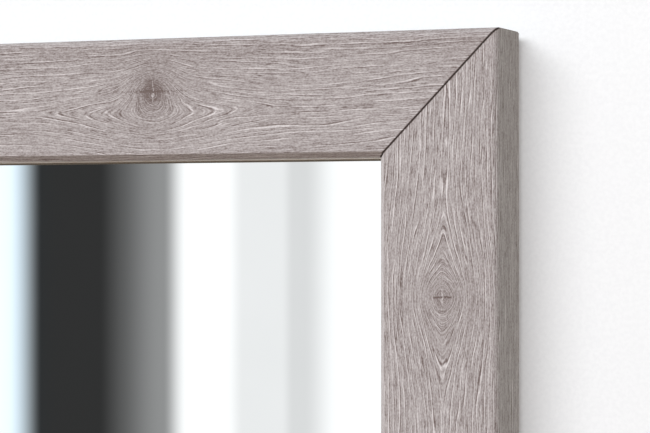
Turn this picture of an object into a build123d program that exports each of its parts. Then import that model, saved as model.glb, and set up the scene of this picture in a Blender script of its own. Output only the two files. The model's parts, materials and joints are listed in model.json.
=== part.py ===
"""Framed wall mirror: four mitred, foil-wrapped MDF rails round a mirror pane, with its back and hangers.

Millimetres. +Z is up, the mirror faces -Y, and the wall is the plane Y = 0.
The origin is the centre of the mirror on the wall plane.
A rail's section runs inward, from its outer edge towards the middle of the mirror,
and back, from the frame's front face towards the wall.
"""

import os

from build123d import *

# Driving dimensions
WIDTH = 600.0
HEIGHT = 800.0
FACE = 60.6  # width of a rail, from its outer edge to the lip's edge at the pane
DEPTH = 34.0  # thickness of a rail, front to back
LIP_DEPTH = 12.0  # from the front face to the shelf that the pane rests against
ARRIS_RADIUS = 3.4  # outer front edge of a rail
BEVEL = 2.8  # inner front edge of a rail, at 45 degrees
BEVEL_EASE = 0.6  # rounding where the bevel meets the front face and the lip
LIP_LEAN = 0.6  # the lip leans out by this much from the bevel to the pane
SIDE_LEAN = 0.4  # the outer side leans in by this much towards the back
LEAN_START = 6.0  # depth where the lean starts
BACK_ARRIS_RADIUS = 5.0  # outer back edge of a rail
FOIL = 0.3  # decor foil
FOIL_RETURN = 6.0  # how far the foil wraps onto the back, past the rounded edge
MITRE_GROOVE = 0.33  # the foil stops this far short of each mitre face
PAD_HEIGHT = 1.5
PAD_RADIUS = 6.0
PAD_INWARD = 16.0  # from the frame's outer edge, on the stiles
PAD_FROM_END = 60.0  # from the top and bottom of the frame

# Rebates behind the lip: the pane lies in the first, the hangers on the ledge of the second
PANE_REBATE = 10.0
LEDGE_WIDTH = 18.0
LEDGE_DEPTH = 22.0  # from the front face to the ledge

# Flat pieces in the first rebate, front to back
TAPE = 0.5
TAPE_WIDTH = 6.0
TAPE_SHOWS = 0.8  # past the lip's edge, in front of the pane
PANE = 4.0
PANE_CLEARANCE = 2.0
BACKING_FILM = 0.2
CUSHION_CLEARANCE = 3.0
BOARD = 3.0
BOARD_CLEARANCE = 1.5
SPACER_LENGTH = 30.0

# Turn buttons, which hold the back board
BUTTON_PLATE = 1.2
BUTTON_WIDTH = 10.0
BUTTON_REACH = 22.0  # from the pivot to the tip
BUTTON_TAIL = 6.0  # from the pivot to the other end
BUTTON_EDGE = 0.4
BUTTON_INWARD = 44.0  # pivot, from the rail's outer edge
BUTTON_LIFT = 0.2  # gap under the plate
BUTTON_HEIGHT = 200.0  # pivots above and below the centre, on the stiles

# Strap hangers, each with a ring
STRAP_SHEET = 0.8
STRAP_WIDTH = 11.0
STRAP_LENGTH = 36.0
STRAP_FOLD = 7.0  # from the ring's axis to where the folded sheet lies flat
STRAP_SCREWS = (-18.5, -30.0)  # from the ring's axis
RING_WIRE_RADIUS = 1.22
RING_WIDTH = 14.8  # to the wire's centre line
RING_HEIGHT = 13.0
RING_CORNER = 1.6
RING_BOW = 7.2  # the bow's corners, nearly a half circle
RING_CLEARANCE = 0.08
HANGER_INWARD = 42.0  # from the rail's outer edge
HANGER_HEIGHT = 270.0  # ring axis above the centre, on the stiles
HANGER_ASIDE = 150.0  # ring axis to the left of the centre, on the top and bottom rails

# Screws
SCREW_RADIUS = 1.75
SCREW_LENGTH = 12.0
SCREW_TIP = 3.0
HEAD_RADIUS = 3.2
HEAD_CROWN = 1.8  # flat top of the head
HEAD_RIM = 0.8
HEAD_HEIGHT = 1.8
SHOULDER_RADIUS = 2.0
SHOULDER_CLEARANCE = 0.08
RECESS_WIDTH = 0.9
RECESS_LENGTH = 3.4
RECESS_DEPTH = 1.1

# V nails, driven into each mitre from behind
NAIL_SHEET = 0.7
NAIL_ARM = 4.5
NAIL_DEPTH = 9.0
NAIL_PLACES = (12.0, 22.0)  # from the outer corner, along each rail

# Derived depths and openings
FRONT = -PAD_HEIGHT - DEPTH
BACK = -PAD_HEIGHT
LEDGE = FRONT + LEDGE_DEPTH
LEDGE_OUTER = FACE - PANE_REBATE - LEDGE_WIDTH
SHELF = FRONT + LIP_DEPTH
PANE_FRONT = SHELF + TAPE
FILM_FRONT = PANE_FRONT + PANE
CUSHION_FRONT = FILM_FRONT + BACKING_FILM
BOARD_FRONT = LEDGE - BOARD
LIP_WIDTH = WIDTH - 2 * FACE
LIP_HEIGHT = HEIGHT - 2 * FACE
REBATE_WIDTH = LIP_WIDTH + 2 * PANE_REBATE
REBATE_HEIGHT = LIP_HEIGHT + 2 * PANE_REBATE
BUTTON_SHOULDER = BUTTON_LIFT + BUTTON_PLATE + SHOULDER_CLEARANCE
STRAP_THICKNESS = 2 * STRAP_SHEET
FOLD_INNER = RING_WIRE_RADIUS + RING_CLEARANCE
FOLD_OUTER = FOLD_INNER + STRAP_SHEET

X, Y, Z = Vector(1, 0, 0), Vector(0, 1, 0), Vector(0, 0, 1)

# Each rail: the direction from its outer edge to the middle, its length, and how far out its outer edge is
RAILS = {
    "top_rail": (-Z, WIDTH, HEIGHT / 2),
    "bottom_rail": (Z, WIDTH, HEIGHT / 2),
    "left_stile": (X, HEIGHT, WIDTH / 2),
    "right_stile": (-X, HEIGHT, WIDTH / 2),
}
CORNERS = [(across, up) for across in (-1, 1) for up in (-1, 1)]


def finish(builder, name):
    """Labels a finished sub-part and writes it."""
    builder.part.label = name
    export_step(builder.part, f"parts/{name}.step")


def facing_wall(y):
    """Parallel to the wall at depth y, seen from the front: x is to the right and y points down."""
    return Plane(origin=(0, y, 0), x_dir=X, z_dir=Y)


def rail_end(inward, length, reach):
    """Across one end of a rail: x is inward, y is back and z runs along the rail."""
    along = inward.cross(Y)
    return Plane(origin=inward * -reach - along * (length / 2) + Y * FRONT, x_dir=inward, z_dir=along)


def rail_section(plane, inset):
    """A rail's section with its wrapped faces set in by `inset`, which is 0 for the outside of the foil."""
    foil_end = BACK_ARRIS_RADIUS + FOIL_RETURN
    bevel = BEVEL + inset * (2**0.5 - 1)
    outline = [
        (inset, LEAN_START),
        (inset, inset),
        (FACE - LIP_LEAN - bevel, inset),
        (FACE - LIP_LEAN - inset, bevel),
        (FACE - inset, LIP_DEPTH),
        (FACE - PANE_REBATE, LIP_DEPTH),
        (FACE - PANE_REBATE, LEDGE_DEPTH),
        (LEDGE_OUTER, LEDGE_DEPTH),
        (LEDGE_OUTER, DEPTH),
    ]
    if inset:
        outline += [(foil_end, DEPTH), (foil_end, DEPTH - inset)]
    outline.append((SIDE_LEAN + inset, DEPTH - inset))
    with BuildSketch(plane) as section:
        with BuildLine():
            Polyline(*outline, close=True)
        make_face()
        rounding = {
            (0, 0): ARRIS_RADIUS,
            (FACE - LIP_LEAN - BEVEL, 0): BEVEL_EASE,
            (FACE - LIP_LEAN, BEVEL): BEVEL_EASE,
            (0, DEPTH): BACK_ARRIS_RADIUS,
        }
        for corner, radius in rounding.items():
            fillet(section.vertices().sort_by_distance(corner)[0], radius - inset)
    return section.sketch


def mitre_outline(inward, length, reach, shortfall):
    """A rail between its mitre faces, less `shortfall` measured square to each."""
    outer = length / 2 - shortfall * 2**0.5
    with BuildSketch(Plane(origin=inward * -reach + Y * FRONT, x_dir=inward, z_dir=Y)) as outline:
        with BuildLine():
            Polyline((0, -outer), (FACE, FACE - outer), (FACE, outer - FACE), (0, outer), close=True)
        make_face()
    return outline.sketch


def nail_outline(across, up):
    """The V nails of one corner, on the frame's back; `across` and `up` are 1 or -1."""
    corner = Plane(
        origin=(across * WIDTH / 2, BACK, up * HEIGHT / 2),
        x_dir=(-across, 0, 0),
        z_dir=(0, -across * up, 0),
    )
    with BuildSketch(corner) as nails:
        for place in NAIL_PLACES:
            with BuildLine(mode=Mode.PRIVATE) as bend:
                Polyline((place, place + NAIL_ARM), (place, place), (place + NAIL_ARM, place))
            trace(bend.line, line_width=NAIL_SHEET)
    return nails.sketch


def screw_section(plane, shoulder, head):
    """Half of a screw driven along the plane's -z, with any head resting on the plane, over the shoulder."""
    outline = [
        (0, -shoulder),
        (SCREW_RADIUS, -shoulder),
        (SCREW_RADIUS, SCREW_TIP - SCREW_LENGTH),
        (0, -SCREW_LENGTH),
    ]
    if head:
        outline[:1] = [
            (0, HEAD_HEIGHT),
            (HEAD_CROWN, HEAD_HEIGHT),
            (HEAD_RADIUS, HEAD_RIM),
            (HEAD_RADIUS, 0),
            (SHOULDER_RADIUS, 0),
            (SHOULDER_RADIUS, -shoulder),
        ]
    with BuildSketch(Plane(origin=plane.origin, x_dir=plane.x_dir, z_dir=-plane.y_dir)) as section:
        with BuildLine():
            Polyline(*outline, close=True)
        make_face()
    return section.sketch


def cross_recess(plane):
    """The driver recess in the head of a screw whose head rests on the plane."""
    with BuildSketch(plane.offset(HEAD_HEIGHT)) as recess:
        Rectangle(RECESS_LENGTH, RECESS_WIDTH)
        Rectangle(RECESS_WIDTH, RECESS_LENGTH)
    return recess.sketch


def sheet(name, front, thickness, clearance):
    """A flat piece that fills the first rebate, less a clearance all round."""
    with BuildPart() as piece:
        with BuildSketch(facing_wall(front)):
            Rectangle(REBATE_WIDTH - 2 * clearance, REBATE_HEIGHT - 2 * clearance)
        extrude(amount=thickness)
    finish(piece, name)


def on_ledge(rail, from_edge, along, x_dir, lift=0.0):
    """A plane over a rail's ledge, with z towards the wall; `along` is measured from the rail's middle."""
    inward, _, reach = RAILS[rail]
    run = Z if inward.X else X
    origin = inward * (from_edge - reach) + run * along + Y * (LEDGE + lift)
    return Plane(origin=origin, x_dir=x_dir, z_dir=Y)


# A turn button's x points inward, over the board. A hanger's x is its ring's axis, and its y, from which
# the ring hangs the mirror, points up on the stiles and left on the rails.
BUTTONS = {
    "top_rail": on_ledge("top_rail", BUTTON_INWARD, 0, -Z),
    "bottom_rail": on_ledge("bottom_rail", BUTTON_INWARD, 0, Z),
    "left_stile_upper": on_ledge("left_stile", BUTTON_INWARD, BUTTON_HEIGHT, X),
    "left_stile_lower": on_ledge("left_stile", BUTTON_INWARD, -BUTTON_HEIGHT, X),
    "right_stile_upper": on_ledge("right_stile", BUTTON_INWARD, BUTTON_HEIGHT, -X),
    "right_stile_lower": on_ledge("right_stile", BUTTON_INWARD, -BUTTON_HEIGHT, -X),
}
HANGERS = {
    "left_stile": on_ledge("left_stile", HANGER_INWARD, HANGER_HEIGHT, -X),
    "right_stile": on_ledge("right_stile", HANGER_INWARD, HANGER_HEIGHT, -X),
    "top_rail": on_ledge("top_rail", HANGER_INWARD, -HANGER_ASIDE, -Z),
    "bottom_rail": on_ledge("bottom_rail", HANGER_INWARD, -HANGER_ASIDE, -Z),
}
BUTTON_SCREWS = {name: place.offset(BUTTON_SHOULDER) for name, place in BUTTONS.items()}
HANGER_SCREWS = {
    name: [Plane(place.origin + place.y_dir * y + Y * STRAP_THICKNESS, x_dir=place.x_dir, z_dir=Y)
           for y in STRAP_SCREWS]
    for name, place in HANGERS.items()
}

os.makedirs("parts", exist_ok=True)

# Rails: an MDF core, and the foil that wraps its front, outer side and lip
for rail_name, (rail_inward, rail_length, rail_reach) in RAILS.items():
    end_plane = rail_end(rail_inward, rail_length, rail_reach)
    with BuildPart() as core:
        extrude(rail_section(end_plane, FOIL), amount=rail_length)
        extrude(mitre_outline(rail_inward, rail_length, rail_reach, 0), amount=DEPTH, mode=Mode.INTERSECT)
        for button_name, screw_plane in BUTTON_SCREWS.items():
            if button_name.startswith(rail_name):
                pilot = screw_section(screw_plane, BUTTON_SHOULDER, head=False)
                revolve(pilot, axis=Axis(screw_plane.origin, Y), mode=Mode.SUBTRACT)
        for screw_plane in HANGER_SCREWS[rail_name]:
            pilot = screw_section(screw_plane, STRAP_THICKNESS, head=False)
            revolve(pilot, axis=Axis(screw_plane.origin, Y), mode=Mode.SUBTRACT)
        for corner_across, corner_up in CORNERS:
            extrude(nail_outline(corner_across, corner_up), amount=NAIL_DEPTH, dir=-Y, mode=Mode.SUBTRACT)
    finish(core, f"{rail_name}_core")

    with BuildPart() as foil:
        extrude(rail_section(end_plane, 0), amount=rail_length)
        extrude(rail_section(end_plane, FOIL), amount=rail_length, mode=Mode.SUBTRACT)
        visible = mitre_outline(rail_inward, rail_length, rail_reach, MITRE_GROOVE)
        extrude(visible, amount=DEPTH, mode=Mode.INTERSECT)
    finish(foil, f"{rail_name}_foil")

with BuildPart() as corner_nails:
    for corner_across, corner_up in CORNERS:
        extrude(nail_outline(corner_across, corner_up), amount=NAIL_DEPTH, dir=-Y)
finish(corner_nails, "corner_nails")

# The pane and what lies round and behind it
with BuildPart() as lip_tape:
    with BuildSketch(facing_wall(SHELF)):
        Rectangle(LIP_WIDTH + 2 * (TAPE_WIDTH - TAPE_SHOWS), LIP_HEIGHT + 2 * (TAPE_WIDTH - TAPE_SHOWS))
        Rectangle(LIP_WIDTH - 2 * TAPE_SHOWS, LIP_HEIGHT - 2 * TAPE_SHOWS, mode=Mode.SUBTRACT)
    extrude(amount=TAPE)
finish(lip_tape, "lip_tape")

sheet("mirror_pane", PANE_FRONT, PANE, PANE_CLEARANCE)
sheet("mirror_backing_film", FILM_FRONT, BACKING_FILM, PANE_CLEARANCE)
sheet("cushion_sheet", CUSHION_FRONT, BOARD_FRONT - CUSHION_FRONT, CUSHION_CLEARANCE)
sheet("back_board", BOARD_FRONT, BOARD, BOARD_CLEARANCE)

with BuildPart() as pane_spacers:
    with BuildSketch(facing_wall(PANE_FRONT)):
        with GridLocations(REBATE_WIDTH / 2, REBATE_HEIGHT - PANE_CLEARANCE, 2, 2):
            Rectangle(SPACER_LENGTH, PANE_CLEARANCE)
        with GridLocations(REBATE_WIDTH - PANE_CLEARANCE, REBATE_HEIGHT / 2, 2, 2):
            Rectangle(PANE_CLEARANCE, SPACER_LENGTH)
    extrude(amount=PANE)
finish(pane_spacers, "pane_spacers")

with BuildPart() as wall_pads:
    with BuildSketch(facing_wall(BACK)):
        with GridLocations(WIDTH - 2 * PAD_INWARD, HEIGHT - 2 * PAD_FROM_END, 2, 2):
            Circle(PAD_RADIUS)
    extrude(amount=PAD_HEIGHT)
finish(wall_pads, "wall_pads")

# Turn buttons, each free to pivot on its own screw
for button_name, place in BUTTONS.items():
    with BuildPart() as button:
        with BuildSketch(place.offset(BUTTON_LIFT)):
            with Locations(((BUTTON_REACH - BUTTON_TAIL) / 2, 0)):
                SlotOverall(BUTTON_REACH + BUTTON_TAIL, BUTTON_WIDTH)
            Circle(SHOULDER_RADIUS + SHOULDER_CLEARANCE, mode=Mode.SUBTRACT)
        extrude(amount=BUTTON_PLATE)
        fillet(button.faces().sort_by(Axis.Y)[-1].outer_wire().edges(), BUTTON_EDGE)
    finish(button, f"turn_button_{button_name}")

with BuildPart() as turn_button_screws:
    for screw_plane in BUTTON_SCREWS.values():
        revolve(screw_section(screw_plane, BUTTON_SHOULDER, head=True), axis=Axis(screw_plane.origin, Y))
        extrude(cross_recess(screw_plane), amount=-RECESS_DEPTH, mode=Mode.SUBTRACT)
finish(turn_button_screws, "turn_button_screws")

# Strap hangers: a strap folded round the straight side of its ring and screwed to the ledge
for hanger_name, place in HANGERS.items():
    with BuildPart() as strap:
        with BuildSketch(Plane(origin=place.origin - place.x_dir * (STRAP_WIDTH / 2),
                               x_dir=place.y_dir, z_dir=place.x_dir)):
            with BuildLine():
                Polyline(
                    (-STRAP_LENGTH, 0),
                    (0, 0),
                    (0, 2 * FOLD_OUTER),
                    (-STRAP_FOLD, STRAP_THICKNESS),
                    (-STRAP_LENGTH, STRAP_THICKNESS),
                    close=True,
                )
            make_face()
            with Locations((0, FOLD_OUTER)):
                Circle(FOLD_OUTER)
                Circle(FOLD_INNER, mode=Mode.SUBTRACT)
        extrude(amount=STRAP_WIDTH)
        for screw_plane in HANGER_SCREWS[hanger_name]:
            with BuildSketch(screw_plane):
                Circle(SHOULDER_RADIUS)
            extrude(amount=-STRAP_THICKNESS, mode=Mode.SUBTRACT)
        flat_end = strap.edges().filter_by(Axis.Y).sort_by(Axis(place.origin, place.y_dir))[:2]
        fillet(flat_end, STRAP_WIDTH * 0.3)
    finish(strap, f"{hanger_name}_hanger_strap")

    with BuildSketch(place.offset(FOLD_OUTER)) as ring_outline:
        with Locations((0, RING_HEIGHT / 2)):
            Rectangle(RING_WIDTH, RING_HEIGHT)
        fillet(ring_outline.vertices().group_by(Axis.Y)[0], RING_CORNER)
        fillet(ring_outline.vertices().group_by(Axis.Y)[-1], RING_BOW)
    ring_line = ring_outline.sketch.face().outer_wire()
    with BuildPart() as ring:
        with BuildSketch(Plane(origin=ring_line @ 0, z_dir=ring_line % 0)):
            Circle(RING_WIRE_RADIUS)
        sweep(path=ring_line)
    finish(ring, f"{hanger_name}_hanger_ring")

with BuildPart() as hanger_screws:
    for screw_plane in [plane for planes in HANGER_SCREWS.values() for plane in planes]:
        revolve(screw_section(screw_plane, STRAP_THICKNESS, head=True), axis=Axis(screw_plane.origin, Y))
        extrude(cross_recess(screw_plane), amount=-RECESS_DEPTH, mode=Mode.SUBTRACT)
finish(hanger_screws, "hanger_screws")
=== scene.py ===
"""Looks of the framed wall mirror: wood-effect foil, mirror pane, back hardware, a pale room and the camera.

Everything is in metres, in the CAD frame: +Z up, the mirror faces -Y, the wall is Y = 0, and the origin
is the middle of the mirror on the wall.
"""

import json
import math

import bmesh
import bpy
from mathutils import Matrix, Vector


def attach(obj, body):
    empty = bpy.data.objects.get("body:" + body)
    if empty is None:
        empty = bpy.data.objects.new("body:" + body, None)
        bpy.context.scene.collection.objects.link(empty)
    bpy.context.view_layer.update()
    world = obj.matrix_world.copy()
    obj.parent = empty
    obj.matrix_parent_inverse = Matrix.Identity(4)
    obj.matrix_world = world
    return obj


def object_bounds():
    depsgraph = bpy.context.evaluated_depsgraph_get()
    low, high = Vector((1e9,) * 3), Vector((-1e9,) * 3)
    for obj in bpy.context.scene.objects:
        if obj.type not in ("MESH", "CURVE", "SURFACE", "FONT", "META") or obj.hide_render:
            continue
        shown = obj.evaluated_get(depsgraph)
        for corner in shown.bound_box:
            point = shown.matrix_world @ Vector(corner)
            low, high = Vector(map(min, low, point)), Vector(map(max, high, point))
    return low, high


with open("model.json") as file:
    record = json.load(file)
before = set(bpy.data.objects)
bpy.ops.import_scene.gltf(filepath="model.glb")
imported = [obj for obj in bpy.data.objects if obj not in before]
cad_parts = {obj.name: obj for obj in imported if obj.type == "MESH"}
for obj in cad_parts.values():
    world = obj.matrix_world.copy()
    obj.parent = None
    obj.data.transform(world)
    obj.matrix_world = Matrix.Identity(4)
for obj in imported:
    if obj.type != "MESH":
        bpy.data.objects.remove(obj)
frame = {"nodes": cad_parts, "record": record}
cad_low, cad_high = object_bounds()

MM = 0.001
FRONT = cad_low.y
HALF_WIDTH = cad_high.x
HALF_HEIGHT = cad_high.z


# --- node graphs -------------------------------------------------------------------------------------


class Graph:
    """Builds one material's node graph. A value may be a number, a tuple or another node's output."""

    def __init__(self, name, surface="ShaderNodeBsdfPrincipled"):
        self.material = bpy.data.materials.new(name)
        self.material.use_nodes = True
        self.tree = self.material.node_tree
        self.tree.nodes.clear()
        self.output = self.add("ShaderNodeOutputMaterial")
        self.shader = self.add(surface)
        self.set(self.output, "Surface", self.shader.outputs[0])

    def add(self, kind, **settings):
        node = self.tree.nodes.new(kind)
        for key, value in settings.items():
            setattr(node, key, value)
        return node

    def set(self, node, key, value):
        socket = node.inputs[key]
        if isinstance(value, bpy.types.NodeSocket):
            self.tree.links.new(value, socket)
        elif socket.type == "RGBA" and len(value) == 3:
            socket.default_value = (*value, 1.0)
        else:
            socket.default_value = value

    def math(self, operation, a, b=0.0, clamp=False):
        node = self.add("ShaderNodeMath", operation=operation, use_clamp=clamp)
        self.set(node, 0, a)
        self.set(node, 1, b)
        return node.outputs[0]

    def total(self, *values):
        result = values[0]
        for value in values[1:]:
            result = self.math("ADD", result, value)
        return result

    def times(self, *values):
        result = values[0]
        for value in values[1:]:
            result = self.math("MULTIPLY", result, value)
        return result

    def less(self, a, b):
        return self.math("SUBTRACT", a, b)

    def square(self, value):
        return self.math("MULTIPLY", value, value)

    def root(self, value):
        return self.math("SQRT", value)

    def vector(self, x, y, z=0.0):
        node = self.add("ShaderNodeCombineXYZ")
        for index, value in enumerate((x, y, z)):
            self.set(node, index, value)
        return node.outputs[0]

    def point(self):
        """The surface point in the object's own coordinates, in metres."""
        return self.add("ShaderNodeTexCoord").outputs["Object"]

    def axes(self):
        """The surface point's three coordinates, in millimetres."""
        split = self.add("ShaderNodeSeparateXYZ")
        self.set(split, 0, self.point())
        return [self.times(split.outputs[index], 1 / MM) for index in range(3)]

    def noise(self, vector, scale=1.0, detail=2.0, roughness=0.5):
        node = self.add("ShaderNodeTexNoise")
        self.set(node, "Vector", vector)
        self.set(node, "Scale", scale)
        self.set(node, "Detail", detail)
        self.set(node, "Roughness", roughness)
        return node.outputs[0]

    def wander(self, x, y, seed, x_scale, y_scale):
        """Smooth noise over x and y, from about -0.5 to 0.5."""
        place = self.vector(self.times(x, 1 / x_scale), self.times(y, 1 / y_scale), seed)
        return self.less(self.noise(place), 0.5)

    def cells(self, vector):
        """Distance to the middle of the nearest of many scattered cells."""
        node = self.add("ShaderNodeTexVoronoi")
        self.set(node, "Vector", vector)
        self.set(node, "Scale", 1.0)
        return node.outputs["Distance"]

    def step(self, value, low, high, to_low=0.0, to_high=1.0):
        """Runs smoothly from to_low to to_high as value goes from low to high."""
        node = self.add("ShaderNodeMapRange", interpolation_type="SMOOTHSTEP")
        self.set(node, "Value", value)
        self.set(node, "From Min", low)
        self.set(node, "From Max", high)
        self.set(node, "To Min", to_low)
        self.set(node, "To Max", to_high)
        return node.outputs[0]

    def bell(self, value, width):
        """exp(-(value / width)^2)."""
        scaled = self.times(value, 1 / width)
        return self.math("EXPONENT", self.times(scaled, scaled, -1.0))

    def mix(self, share, a, b):
        node = self.add("ShaderNodeMix", data_type="RGBA")
        self.set(node, 0, share)
        self.set(node, 6, a)
        self.set(node, 7, b)
        return node.outputs[2]

    def bump(self, height, strength, distance):
        node = self.add("ShaderNodeBump")
        self.set(node, "Height", height)
        self.set(node, "Strength", strength)
        self.set(node, "Distance", distance)
        self.set(self.shader, "Normal", node.outputs[0])


def uniform(graph, **sockets):
    """Sets the shader's own sockets; a name's underscores stand for spaces."""
    for name, value in sockets.items():
        graph.set(graph.shader, name.replace("_", " "), value)


# --- grey-washed oak foil ----------------------------------------------------------------------------

OAK_DARK = (0.135, 0.098, 0.091)
OAK_LIGHT = (0.688, 0.646, 0.657)
OAK_MEAN = 0.405  # between the two
LIP_PAINTED_LIGHT = (0.88, 0.83, 0.76)  # painted light: the foil round the lip is painted pale, as if lit by light bounced off the mirror
LIP_GLOSS = -0.15  # it is smoother there too
EMBOSSING = 0.10 * MM
# How much each mark lightens the print (or darkens it, if negative): first single ones, then the grain's
SPECKLE = 0.85
CRACK = -1.1
GLINT = 0.32  # the pale crack of a knot
SEAM = -0.60  # along the mitres
GRAIN_MARKS = {
    "fibre": 0.44,
    "fine": 1.15,
    "broad": 0.12,
    "lime": 0.58,
    # painted shade of the embossed furrow beside each pale line; the furrow's relief itself is real
    "furrow_and_shade": -0.38,
    "hair": 0.30,
    "pores": -0.30,
}
LIME_LENGTH, LIME_APART, LIME_HALF_WIDTH = 70.0, 2.6, 0.17  # millimetres
FURROW_BESIDE = 0.46  # from a pale line to the painted shade of the furrow beside it, millimetres


class Knot:
    """A knot in the print. Millimetres: its place along the rail and inward from its outer edge, the
    axis of the eye that surrounds it, the eye's half length and half height, and the core's radius. Then
    how dark the core is, and whether its dark crack runs along the grain."""

    def __init__(self, along, inward, axis, length, height, core, darkness, dark_crack_along):
        self.along, self.inward, self.axis = along, inward, axis
        self.length, self.height, self.core = length, height, core
        self.darkness, self.dark_crack_along = darkness, dark_crack_along


class Rail:
    """How one rail's foil lies and is printed. axes are the indexes of the axes across and along the rail,
    and edges are its outer edge's place on the first and half its length. seed makes the print its own.
    middle is the middle of the grain away from knots, in millimetres inward. contrast is the grain's,
    bevel_paler is painted light that makes the inner bevel paler, and edge_darker is
    painted shade that makes the band by the outer edge darker."""

    def __init__(self, axes, edges, seed, middle, contrast, bevel_paler, edge_darker, knots):
        self.across, self.along = axes
        self.outer_edge, self.half_length = edges
        self.seed, self.middle, self.contrast = seed, middle, contrast
        self.bevel_paler, self.edge_darker, self.knots = bevel_paler, edge_darker, knots


def outer_side(graph, inward, behind):
    """1 on the frame's outer sides and 0 on its front, where the mitres are stained dark."""
    return graph.times(graph.step(inward, 3.0, 1.5), graph.step(behind, 2.5, 4.5))


class OakFoil(Graph):
    """Printed and embossed oak on one rail. Places on the foil are in millimetres.

    The grain follows the level lines of `rings`, a height field with an eye round each knot.
    """

    def __init__(self, name, rail):
        super().__init__(name)
        self.rail = rail
        self.find_place()
        self.bend_grain()
        self.dark, self.cracks, self.glints, self.lively = 0.0, 0.0, 0.0, 1.0
        for knot in rail.knots:
            self.add_knot(knot)
        self.paint()

    def find_place(self):
        """run goes along the rail. spread goes across the foil, round the outer side and onto the back."""
        point = self.axes()
        from_edge = self.less(point[self.rail.across], self.rail.outer_edge / MM)
        self.inward = self.times(from_edge, -1.0 if self.rail.outer_edge > 0 else 1.0)
        self.behind = self.less(point[1], FRONT / MM)
        over_face = self.times(self.inward, self.step(self.behind, 20.0, 26.0, 1.0, -1.0))
        down_side = self.times(self.behind, self.step(self.inward, 20.0, 40.0, -1.0, 1.0))
        self.spread = self.total(over_face, down_side)
        self.side = self.times(self.spread, 1 / 11)
        self.run = point[self.rail.along]

    def bend_grain(self):
        """Starts rings as the distance from an axis, which sways and which each knot draws to itself."""
        sway = self.wander(self.run, self.spread, self.rail.seed, 150.0, 55.0)
        self.ripple = self.wander(self.run, self.spread, self.rail.seed + 3.7, 26.0, 9.0)
        axis, calm, tip = self.rail.middle, 1.0, 0.3
        for knot in self.rail.knots:
            near = self.bell(self.less(self.run, knot.along), 75.0)
            tip = self.total(tip, self.times(self.bell(self.less(self.run, knot.along), 38.0), 7.0))
            axis = self.total(axis, self.times(near, knot.axis - self.rail.middle))
            calm = self.less(calm, self.times(near, 0.9))
        self.bent = self.total(self.spread, self.times(sway, 16.0, calm), self.times(self.ripple, 1.1))
        self.from_axis = self.less(self.bent, axis)
        self.rings = self.root(self.total(self.square(self.from_axis), tip))
        steepness = self.math("DIVIDE", self.math("ABSOLUTE", self.from_axis), self.rings)
        self.tapered = self.step(steepness, 0.05, 0.50, 0.35, 1.0)

    def add_knot(self, knot):
        """Raises the knot's eye in rings and adds its dark core, its cracks and its glints."""
        off_along = self.total(self.less(self.run, knot.along), self.times(self.ripple, 2.0))
        off_across = self.less(self.bent, knot.inward)
        reach = self.root(self.total(self.square(off_along), self.square(off_across)))
        eye = self.times(self.bell(off_along, knot.length), self.bell(self.from_axis, 24.0), knot.height)
        self.rings = self.less(self.rings, eye)
        self.rings = self.less(self.rings, self.times(self.bell(reach, 2.1 * knot.core), 3.3 * knot.core))
        self.rings = self.less(self.rings, self.times(self.bell(reach, knot.core), 2.0 * knot.core))
        self.lively = self.less(self.lively, self.times(self.bell(reach, knot.core * 2.0), 0.65))
        jitter = self.wander(off_along, off_across, self.rail.seed, 1.5, 1.5)
        self.darken_core(knot, reach, self.total(reach, self.times(jitter, 3.0)))
        self.crack_core(knot, reach, jitter, off_along, off_across)

    def darken_core(self, knot, reach, edge):
        """The core, the stain round it and a faint shade round the eye. edge is reach, made ragged."""
        core = self.times(self.step(edge, knot.core * 1.3, knot.core * 0.6), 0.21 * knot.darkness)
        stain = self.times(self.step(edge, knot.core * 2.6, knot.core), 0.08 * knot.darkness)
        shade = self.times(self.bell(reach, knot.core * 4.0), 0.08)
        self.dark = self.total(self.dark, core, stain, shade)

    def crack_core(self, knot, reach, jitter, off_along, off_across):
        """A dark crack, crumbling, and a pale one across it."""
        crumb_noise = self.wander(off_along, off_across, self.rail.seed + 5.0, 0.9, 0.9)
        crumbs = self.step(crumb_noise, -0.14, 0.06)
        off_dark = self.math("ABSOLUTE", self.total(off_across, self.times(jitter, 2.6)))
        off_pale = self.math("ABSOLUTE", self.total(off_along, self.times(jitter, 1.3)))
        if not knot.dark_crack_along:
            off_dark, off_pale = off_pale, off_dark
        in_core = self.step(reach, knot.core * 1.25, knot.core * 0.8)
        self.cracks = self.total(self.cracks, self.times(self.step(off_dark, 0.55, 0.25), in_core, crumbs))
        if knot.dark_crack_along:
            check = self.times(self.step(off_dark, 0.9, 0.2), self.bell(off_along, knot.core * 3.4), crumbs)
            self.cracks = self.total(self.cracks, self.times(check, 0.28))
        in_middle = self.step(reach, knot.core, knot.core * 0.8)
        self.glints = self.total(self.glints, self.times(self.step(off_pale, 0.45, 0.15), in_middle))

    def grain(self, length, width, seed, shift=0.0):
        """Coordinates drawn out along the grain."""
        along = self.times(self.run, 1 / length)
        across = self.times(self.total(self.rings, shift), 1 / width)
        return self.vector(along, across, self.total(self.side, self.rail.seed + seed))

    def streak(self, length, width, seed, detail=1.0, roughness=0.5):
        """Noise along the grain, from about -0.5 to 0.5."""
        return self.less(self.noise(self.grain(length, width, seed), 1.0, detail, roughness), 0.5)

    def lines(self, length, apart, seed, half_width, shift=0.0):
        """Thin lines along the grain, which wander, crowd and spread."""
        drift = self.less(self.noise(self.grain(length, 2.6 * apart, seed, shift), 1.0, 2.0, 0.5), 0.5)
        phase = self.total(self.times(self.total(self.rings, shift), 1 / apart), self.times(drift, 2.6))
        off_line = self.math("ABSOLUTE", self.less(self.math("FRACT", phase), 0.5))
        return self.step(off_line, 1.4 * half_width / apart, 0.4 * half_width / apart)

    def dash(self, length, width, seed):
        """Spindle-shaped dashes, one in each cell of length by width."""
        return self.step(self.cells(self.grain(length, width, seed)), 0.40, 0.15)

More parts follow.
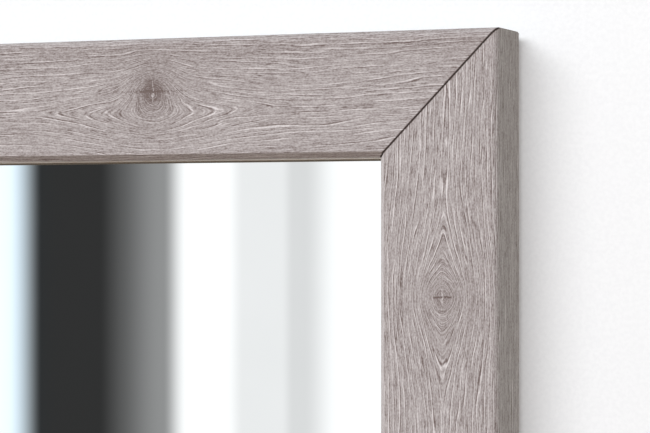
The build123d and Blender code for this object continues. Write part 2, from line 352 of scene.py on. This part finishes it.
    def grain_marks(self):
        """The grain's marks by name: soft streaks, then pale lines with the dark painted shade of
        a furrow beside each, hairs and pores.
        """
        gaps = self.times(self.step(self.streak(26.0, 2.0, 6.0), -0.13, 0.03), self.lively, self.tapered)
        lime = self.lines(LIME_LENGTH, LIME_APART, 2.0, LIME_HALF_WIDTH)
        furrow_and_shade = self.lines(LIME_LENGTH, LIME_APART, 2.0, LIME_HALF_WIDTH, FURROW_BESIDE)
        hair_gaps = self.step(self.streak(16.0, 1.4, 4.0), -0.03, 0.10)
        pore_gaps = self.step(self.streak(40.0, 4.0, 10.0), -0.08, 0.08)
        return {
            "fibre": self.streak(34.0, 0.60, 7.0, 3.0, 0.72),
            "fine": self.streak(6.0, 0.42, 5.0, 2.0, 0.6),
            "broad": self.streak(110.0, 8.0, 1.0),
            "lime": self.times(lime, gaps),
            "furrow_and_shade": self.times(furrow_and_shade, gaps),
            "hair": self.times(self.lines(40.0, 1.5, 3.0, 0.16), hair_gaps),
            "pores": self.times(self.dash(6.5, 1.0, 9.0), pore_gaps),
        }

    def seam(self):
        """1 in a narrow band along the mitres, on the front."""
        from_corner = self.less(self.rail.half_length / MM, self.math("ABSOLUTE", self.run))
        band = self.step(self.math("ABSOLUTE", self.less(from_corner, self.inward)), 1.0, 0.55)
        return self.times(band, self.less(1.0, outer_side(self, self.inward, self.behind)))

    def shade(self, marks):
        """How light the print is, from 0 to 1."""
        strengths = dict(GRAIN_MARKS, fibre=self.times(self.lively, GRAIN_MARKS["fibre"]))
        figure = self.total(*(self.times(marks[name], strengths[name]) for name in GRAIN_MARKS))
        speckle = self.wander(self.run, self.spread, self.rail.seed + 12.0, 1.2, 0.6)
        return self.total(
            OAK_MEAN,
            self.times(figure, self.rail.contrast),
            self.times(speckle, SPECKLE),
            self.times(self.dark, -1.0),
            self.times(self.cracks, CRACK),
            self.times(self.glints, GLINT),
            self.times(self.seam(), SEAM),
            # Painted highlight: the inner bevel is painted paler, as if lit from the side.
            self.times(self.step(self.inward, 57.0, 57.6), self.rail.bevel_paler),
            # Painted shade: the print is darkened towards the outer edge.
            self.times(self.step(self.inward, 24.0, 6.0), -self.rail.edge_darker),
        )

    def paint(self):
        marks = self.grain_marks()
        # Painted light: the foil on the lip is painted pale, as if lit from the mirror; it is also glossier
        # there.
        lip = self.times(self.step(self.behind, 3.2, 5.0), self.step(self.inward, 57.0, 60.0))
        printed = self.mix(self.math("ADD", self.shade(marks), 0.0, clamp=True), OAK_DARK, OAK_LIGHT)
        lip_light_share = self.times(lip, self.step(marks["fine"], -0.3, 0.3, 0.8, 1.0))
        self.set(self.shader, "Base Color", self.mix(lip_light_share, printed, LIP_PAINTED_LIGHT))
        gloss = self.step(marks["fibre"], -0.3, 0.3, 0.56, 0.42)
        self.set(self.shader, "Roughness", self.total(gloss, self.times(lip, LIP_GLOSS)))
        uniform(self, Specular_IOR_Level=0.40)
        relief = self.total(
            marks["fibre"],
            self.times(marks["lime"], -0.5),
            self.times(marks["furrow_and_shade"], -0.4),
            self.times(marks["pores"], -0.6),
            self.times(self.cracks, -1.0),
        )
        self.bump(relief, 0.5, EMBOSSING)


RAILS = {
    "top_rail": Rail(
        axes=(2, 0), edges=(HALF_HEIGHT, HALF_WIDTH), seed=1.3, middle=33.0,
        contrast=0.75, bevel_paler=0.0, edge_darker=0.07,
        knots=[
            Knot(119.0, 26.0, 37.0, 42.0, 12.0, 6.0, 1.0, True),
            Knot(-168.0, 35.0, 30.0, 34.0, 11.0, 4.5, 0.6, False),
        ],
    ),
    "right_stile": Rail(
        axes=(0, 2), edges=(HALF_WIDTH, HALF_HEIGHT), seed=8.1, middle=26.0,
        contrast=1.0, bevel_paler=0.36, edge_darker=0.03,
        knots=[
            Knot(274.0, 27.6, 27.6, 30.0, 11.4, 4.2, 0.2, False),
            Knot(-96.0, 24.0, 33.0, 44.0, 12.0, 5.5, 0.9, True),
        ],
    ),
    "bottom_rail": Rail(
        axes=(2, 0), edges=(-HALF_HEIGHT, HALF_WIDTH), seed=15.6, middle=28.0,
        contrast=0.80, bevel_paler=0.0, edge_darker=0.07,
        knots=[Knot(-64.0, 33.0, 26.0, 38.0, 12.0, 5.0, 0.8, True)],
    ),
    "left_stile": Rail(
        axes=(0, 2), edges=(-HALF_WIDTH, HALF_HEIGHT), seed=23.4, middle=30.0,
        contrast=1.0, bevel_paler=0.36, edge_darker=0.03,
        knots=[
            Knot(122.0, 25.0, 35.0, 40.0, 12.0, 5.8, 0.9, True),
            Knot(-238.0, 33.0, 31.0, 30.0, 11.0, 4.2, 0.4, False),
        ],
    ),
}


# --- other materials ---------------------------------------------------------------------------------


def mdf():
    graph = Graph("mdf")
    point = graph.point()
    chips = graph.noise(point, 900.0, 4.0, 0.65)
    cloud = graph.noise(point, 45.0, 2.0)
    colour = graph.mix(graph.step(chips, 0.30, 0.70), (0.30, 0.205, 0.130), (0.47, 0.350, 0.240))
    colour = graph.mix(graph.step(cloud, 0.35, 0.65, 0.0, 0.30), colour, (0.36, 0.255, 0.165))
    graph.set(graph.shader, "Base Color", colour)
    graph.set(graph.shader, "Roughness", graph.step(chips, 0.2, 0.8, 0.92, 0.78))
    graph.bump(chips, 0.5, 0.15 * MM)
    return graph.material


def mirror():
    graph = Graph("mirror")
    point = graph.point()
    haze = graph.noise(point, 9.0, 4.0, 0.6)
    colour = graph.mix(graph.step(haze, 0.3, 0.7), (0.920, 0.930, 0.925), (0.945, 0.952, 0.950))
    graph.set(graph.shader, "Base Color", colour)
    graph.set(graph.shader, "Roughness", graph.step(haze, 0.45, 0.85, 0.0, 0.030))
    uniform(graph, Metallic=1.0)
    return graph.material


def plated(name, base, streak):
    """Plated steel, brushed upright, with faint blotches."""
    graph = Graph(name)
    x, y, z = graph.axes()
    stretched = graph.vector(graph.times(x, 4.0), graph.times(y, 4.0), graph.times(z, 0.15))
    brushed = graph.noise(stretched, 1.0, 3.0, 0.6)
    blotch = graph.noise(graph.vector(x, y, z), 0.35, 3.0, 0.55)
    colour = graph.mix(graph.step(brushed, 0.25, 0.75), base, streak)
    colour = graph.mix(graph.step(blotch, 0.50, 0.80, 0.0, 0.30), colour, tuple(0.62 * c for c in base))
    graph.set(graph.shader, "Base Color", colour)
    graph.set(graph.shader, "Roughness", graph.step(blotch, 0.25, 0.75, 0.22, 0.42))
    uniform(graph, Metallic=1.0)
    graph.bump(brushed, 0.25, 0.02 * MM)
    return graph.material


def hardboard():
    graph = Graph("hardboard")
    point = graph.point()
    fibre = graph.noise(point, 520.0, 5.0, 0.7)
    cloud = graph.noise(point, 14.0, 3.0, 0.6)
    colour = graph.mix(graph.step(fibre, 0.30, 0.70), (0.255, 0.150, 0.080), (0.400, 0.262, 0.155))
    colour = graph.mix(graph.step(cloud, 0.30, 0.70, 0.0, 0.45), colour, (0.310, 0.195, 0.110))
    graph.set(graph.shader, "Base Color", colour)
    graph.set(graph.shader, "Roughness", graph.step(fibre, 0.2, 0.8, 0.62, 0.48))
    graph.bump(fibre, 0.35, 0.08 * MM)
    return graph.material


def soft_plain(name, dark, light, scale, roughness, relief, sheen=0.0):
    """Foam, tape, film or felt: a mottled matte surface with its own grain."""
    graph = Graph(name)
    point = graph.point()
    grain = graph.noise(point, scale, 4.0, 0.65)
    cloud = graph.noise(point, scale / 25, 2.0)
    mottle = graph.total(graph.step(grain, 0.3, 0.7, 0.0, 0.7), graph.step(cloud, 0.3, 0.7, 0.0, 0.3))
    graph.set(graph.shader, "Base Color", graph.mix(mottle, dark, light))
    graph.set(graph.shader, "Roughness", graph.step(grain, 0.2, 0.8, roughness, roughness - 0.12))
    uniform(graph, Sheen_Weight=sheen)
    graph.bump(grain, 0.6, relief)
    return graph.material


def dress(node, material):
    """Gives a CAD node its material in every slot."""
    obj = frame["nodes"][node]
    if not obj.data.materials:
        obj.data.materials.append(material)
    for index in range(len(obj.data.materials)):
        obj.data.materials[index] = material


# dark colour, light colour, scale of the grain, roughness, depth of the relief
FILM = ((0.20, 0.235, 0.265), (0.275, 0.310, 0.340), 300.0, 0.55, 0.04 * MM)
TAPE = ((0.240, 0.235, 0.215), (0.340, 0.332, 0.305), 1500.0, 0.85, 0.05 * MM)
FOAM = ((0.74, 0.74, 0.73), (0.86, 0.86, 0.85), 700.0, 0.70, 0.15 * MM)
FELT = ((0.36, 0.35, 0.335), (0.56, 0.55, 0.53), 1800.0, 0.95, 0.20 * MM)
SLOT_MATERIALS = {
    "mdf": mdf(),
    "mirror": mirror(),
    "backing_film": soft_plain("backing_film", *FILM),
    "black_tape": soft_plain("black_tape", *TAPE),
    "foam_sheet": soft_plain("foam_sheet", *FOAM),
    "hardboard": hardboard(),
    "zinc_steel": plated("zinc", (0.62, 0.63, 0.64), (0.80, 0.80, 0.79)),
    "nickel_steel": plated("nickel", (0.66, 0.63, 0.58), (0.82, 0.79, 0.73)),
    "felt": soft_plain("felt", *FELT, sheen=0.3),
}
for entry in frame["record"]["subparts"]:
    node_name = entry["node"]
    if node_name.endswith("_foil"):
        rail = node_name[: -len("_foil")]
        dress(node_name, OakFoil(f"oak_{rail}", RAILS[rail]).material)
    else:
        dress(node_name, SLOT_MATERIALS[entry["material_slot"]])


# --- filler in the mitres ----------------------------------------------------------------------------

MITRE_GROOVE = 0.33 * MM  # the foil's shortfall at each side of a mitre
FOIL = 0.3 * MM
FILL_BELOW = 0.10 * MM  # from the foil's face down to the filler
FILL_BACK = 0.98 * FOIL  # and to the filler's back, just clear of the core
FILL_REACH = 0.995 * MITRE_GROOVE * math.sqrt(2)  # along a rail from the mitre, just clear of the foil
# The moulding's outline on the foil's face: inward from the outer edge, and back from the front
SIDE_END = (0.4 * MM, 29.0 * MM)
LEAN_START = 6.0 * MM
ARRIS = 3.4 * MM  # radius of the outer front edge
ARRIS_STEPS = 8
BEVEL_START = 57.2 * MM
BEVEL_END = (60.0 * MM, 2.8 * MM)
LIP_END = (60.6 * MM, 12.0 * MM)
LIP_SHORT = 0.1 * MM  # the filler stops this far short of the tape


def moulding_outline(inset):
    """The foil's outside, from the back of the outer side to the lip, set in by inset: (inward, back)."""
    points = [(SIDE_END[0] + inset, SIDE_END[1]), (inset, LEAN_START)]
    radius = ARRIS - inset
    for index in range(ARRIS_STEPS + 1):
        turn = math.radians(90.0 * index / ARRIS_STEPS)
        points.append((ARRIS - radius * math.cos(turn), ARRIS - radius * math.sin(turn)))
    corner = inset * math.tan(math.radians(22.5))
    points.append((BEVEL_START - corner, inset))
    points.append((BEVEL_END[0] - inset, BEVEL_END[1] + corner))
    points.append((LIP_END[0] - inset, LIP_END[1] - LIP_SHORT))
    return points


def mitre_filler(across, up):
    """The filler in one corner's groove, bent to follow both rails. across and up are 1 or -1."""
    mesh = bpy.data.meshes.new(f"mitre_filler_{across}_{up}")
    shape = bmesh.new()
    bend = ((0.0, FILL_REACH), (0.0, 0.0), (FILL_REACH, 0.0))  # down the stile, on the mitre, along the rail
    rows = []
    for outer, inner in zip(moulding_outline(FILL_BELOW), moulding_outline(FILL_BACK)):
        ring = []
        for (inward, back), places in ((outer, bend), (inner, reversed(bend))):
            for along_rail, down_stile in places:
                x = across * (HALF_WIDTH - inward - along_rail)
                z = up * (HALF_HEIGHT - inward - down_stile)
                ring.append(shape.verts.new((x, FRONT + back, z)))
        rows.append(ring)
    for row, following in zip(rows, rows[1:]):
        for index in range(len(row)):
            other = (index + 1) % len(row)
            shape.faces.new((row[index], row[other], following[other], following[index]))
    shape.faces.new(rows[0])
    shape.faces.new(reversed(rows[-1]))
    bmesh.ops.recalc_face_normals(shape, faces=shape.faces)
    shape.to_mesh(mesh)
    shape.free()
    mesh.materials.append(FILLER)
    piece = bpy.data.objects.new(mesh.name, mesh)
    bpy.context.scene.collection.objects.link(piece)
    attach(piece, "frame")


def filler():
    """Dark brown on the front and in the foil's own tone on the outer sides, where the joints don't show."""
    graph = Graph("mitre_filler")
    point = graph.axes()
    inward = graph.less(HALF_WIDTH / MM, graph.math("ABSOLUTE", point[0]))
    behind = graph.less(point[1], FRONT / MM)
    grain = graph.noise(graph.vector(*point), 1.5, 4.0, 0.65)
    stained = graph.mix(grain, (0.010, 0.006, 0.005), (0.026, 0.017, 0.014))
    plain = graph.mix(grain, (0.270, 0.220, 0.205), (0.420, 0.370, 0.355))
    graph.set(graph.shader, "Base Color", graph.mix(outer_side(graph, inward, behind), stained, plain))
    graph.set(graph.shader, "Roughness", graph.step(grain, 0.2, 0.8, 0.75, 0.63))
    graph.bump(grain, 0.6, 0.04 * MM)
    return graph.material


FILLER = filler()
for corner_across in (-1, 1):
    for corner_up in (-1, 1):
        mitre_filler(corner_across, corner_up)


# --- room, light and camera --------------------------------------------------------------------------


def stage_plane(name, corners, material):
    mesh = bpy.data.meshes.new(name)
    mesh.from_pydata(corners, [], [(0, 1, 2, 3)])
    mesh.materials.append(material)
    obj = bpy.data.objects.new(name, mesh)
    bpy.context.scene.collection.objects.link(obj)
    return obj


def one_sided(graph):
    """Makes a stage surface show from its front only, so that the model can be seen through its back."""
    clear = graph.add("ShaderNodeBsdfTransparent")
    choice = graph.add("ShaderNodeMixShader")
    graph.set(choice, 0, graph.add("ShaderNodeNewGeometry").outputs["Backfacing"])
    graph.set(choice, 1, graph.shader.outputs[0])
    graph.set(choice, 2, clear.outputs[0])
    graph.set(graph.output, "Surface", choice.outputs[0])


def wall_paint():
    graph = Graph("wall_paint")
    point = graph.point()
    roller = graph.noise(point, 520.0, 3.0, 0.55)
    patch = graph.noise(point, 60.0, 3.0, 0.6)
    colour = graph.mix(graph.step(roller, 0.30, 0.70), (0.843, 0.854, 0.882), (0.881, 0.892, 0.918))
    colour = graph.mix(graph.step(patch, 0.30, 0.70, 0.0, 0.30), colour, (0.860, 0.871, 0.898))
    graph.set(graph.shader, "Base Color", colour)
    uniform(graph, Roughness=0.85, Specular_IOR_Level=0.2)
    graph.bump(roller, 0.22, 0.12 * MM)
    one_sided(graph)
    return graph.material


WALL_Y = 0.0003
WALL_REACH = 5.0
WALL_HEIGHT = 3.0  # above and below the mirror's middle
wall = stage_plane(
    "wall",
    [
        (-WALL_REACH, WALL_Y, -WALL_HEIGHT),
        (WALL_REACH, WALL_Y, -WALL_HEIGHT),
        (WALL_REACH, WALL_Y, WALL_HEIGHT),
        (-WALL_REACH, WALL_Y, WALL_HEIGHT),
    ],
    wall_paint(),
)
wall.visible_diffuse = False
wall.visible_shadow = False
wall.visible_glossy = False
wall.visible_transmission = False

# What the mirror shows: a pale room behind the camera, in soft upright bands. From left to right, where each
# band starts, how far its edge fades (metres on the card) and how bright it is
CARD_Y = -2.6
CARD_LEFT, CARD_RIGHT = -9.0, 9.0
CARD_TINT = (0.985, 1.0, 1.010)
COOL_TINT = (0.84, 0.99, 1.10)  # beside the dark curtain
COOL_AT, COOL_WIDTH = -1.500, 0.040
ROOM_BANDS = {
    "far wall": (-9.0, 0.0, 1.10),
    "shelves": (-2.60, 0.60, 0.72),
    "window": (-2.00, 0.30, 1.12),
    "dark curtain": (-1.491, 0.062, 0.033),
    "curtain's fold": (-1.335, 0.040, 0.090),
    "curtain's lit edge": (-1.285, 0.090, 0.300),
    "second window": (-1.220, 0.042, 1.12),
    "pale pillar": (-1.118, 0.030, 0.90),
    "pillar's side": (-1.028, 0.020, 0.76),
    "white wall": (-0.970, 0.060, 1.10),
    "cabinet": (-0.55, 0.30, 0.80),
    "doorway": (0.05, 0.25, 0.72),
    "white door": (0.45, 0.40, 1.00),
    "grey screen": (1.10, 0.60, 0.70),
    "near wall": (2.20, 0.80, 0.95),
}


def room_card():
    graph = Graph("room_card", "ShaderNodeEmission")
    split = graph.add("ShaderNodeSeparateXYZ")
    graph.set(split, 0, graph.point())
    level = 0.0
    for start, fade, brightness in ROOM_BANDS.values():
        share = graph.step(split.outputs[0], start - fade / 2 - 0.001, start + fade / 2 + 0.001)
        level = graph.total(level, graph.times(share, graph.less(brightness, level)))
    tint = graph.mix(graph.bell(graph.less(split.outputs[0], COOL_AT), COOL_WIDTH), CARD_TINT, COOL_TINT)
    colour = graph.add("ShaderNodeVectorMath", operation="SCALE")
    graph.set(colour, 0, tint)
    graph.set(colour, "Scale", level)
    graph.set(graph.shader, "Color", colour.outputs[0])
    return graph.material


card = stage_plane(
    "room_card",
    [
        (CARD_LEFT, CARD_Y, -WALL_HEIGHT),
        (CARD_LEFT, CARD_Y, WALL_HEIGHT),
        (CARD_RIGHT, CARD_Y, WALL_HEIGHT),
        (CARD_RIGHT, CARD_Y, -WALL_HEIGHT),
    ],
    room_card(),
)
card.visible_camera = False
card.visible_diffuse = False
card.visible_shadow = False


WINDOW_PLACE = Vector((-0.22, -3.9, 2.70))
WINDOW_AIM = Vector((0.0, 0.0, 0.1))
WINDOW_SIZE = (6.6, 1.95)
WINDOW_POWER = 255.0
WINDOW_COLOUR = (0.985, 0.995, 1.0)


def window_light():
    """The one lamp: a wide window, high behind the camera."""
    data = bpy.data.lights.new("window", "AREA")
    data.shape = "RECTANGLE"
    data.size, data.size_y = WINDOW_SIZE
    data.energy = WINDOW_POWER
    data.color = WINDOW_COLOUR
    obj = bpy.data.objects.new("window", data)
    obj.location = WINDOW_PLACE
    obj.rotation_euler = (WINDOW_AIM - WINDOW_PLACE).to_track_quat("-Z", "Y").to_euler()
    obj.visible_glossy = False
    bpy.context.scene.collection.objects.link(obj)


window_light()

# Room light: from above, from the floor, and from the bright wall behind
SKY = (0.45, 0.49, 0.50)
GROUND = (0.27, 0.175, 0.105)
WALL_GLOW = (0.62, 0.62, 0.575)
BACKDROP = (0.60, 0.61, 0.62)  # what the camera sees past the room
BLEND_OVER = 0.15  # half the width of each change, on a unit direction


def room_light():
    world = bpy.data.worlds.new("room_light")
    world.use_nodes = True
    tree = world.node_tree
    split = tree.nodes.new("ShaderNodeSeparateXYZ")
    tree.links.new(tree.nodes.new("ShaderNodeTexCoord").outputs["Generated"], split.inputs[0])

    def blend(axis, low, high):
        fade = tree.nodes.new("ShaderNodeMapRange")
        fade.inputs["From Min"].default_value = -BLEND_OVER
        fade.inputs["From Max"].default_value = BLEND_OVER
        tree.links.new(split.outputs[axis], fade.inputs["Value"])
        mix = tree.nodes.new("ShaderNodeMix")
        mix.data_type = "RGBA"
        tree.links.new(fade.outputs[0], mix.inputs[0])
        for index, value in ((6, low), (7, high)):
            if isinstance(value, bpy.types.NodeSocket):
                tree.links.new(value, mix.inputs[index])
            else:
                mix.inputs[index].default_value = (*value, 1.0)
        return mix.outputs[2]

    front = blend(2, GROUND, SKY)
    seen = tree.nodes.new("ShaderNodeMix")
    seen.data_type = "RGBA"
    tree.links.new(tree.nodes.new("ShaderNodeLightPath").outputs["Is Camera Ray"], seen.inputs[0])
    tree.links.new(blend(1, front, WALL_GLOW), seen.inputs[6])
    seen.inputs[7].default_value = (*BACKDROP, 1.0)
    tree.links.new(seen.outputs[2], tree.nodes["Background"].inputs[0])
    return world


bpy.context.scene.world = room_light()
bpy.context.scene.view_settings.view_transform = "Standard"

# The camera, fitted to the edges of the frame's top right corner
CORNER = Vector((HALF_WIDTH, FRONT, HALF_HEIGHT))
CAMERA_FROM_CORNER = Vector((0.4551, -1.1947, -0.0963))
CAMERA_TILT, CAMERA_TURN = 90.3614, 24.4425  # degrees
LENS, SENSOR = 152.0, 36.0

camera_data = bpy.data.cameras.new("camera")
camera_data.sensor_width = SENSOR
camera_data.lens = LENS
camera = bpy.data.objects.new("camera", camera_data)
camera.location = CORNER + CAMERA_FROM_CORNER
camera.rotation_euler = (math.radians(CAMERA_TILT), 0.0, math.radians(CAMERA_TURN))
bpy.context.scene.collection.objects.link(camera)
bpy.context.scene.camera = camera
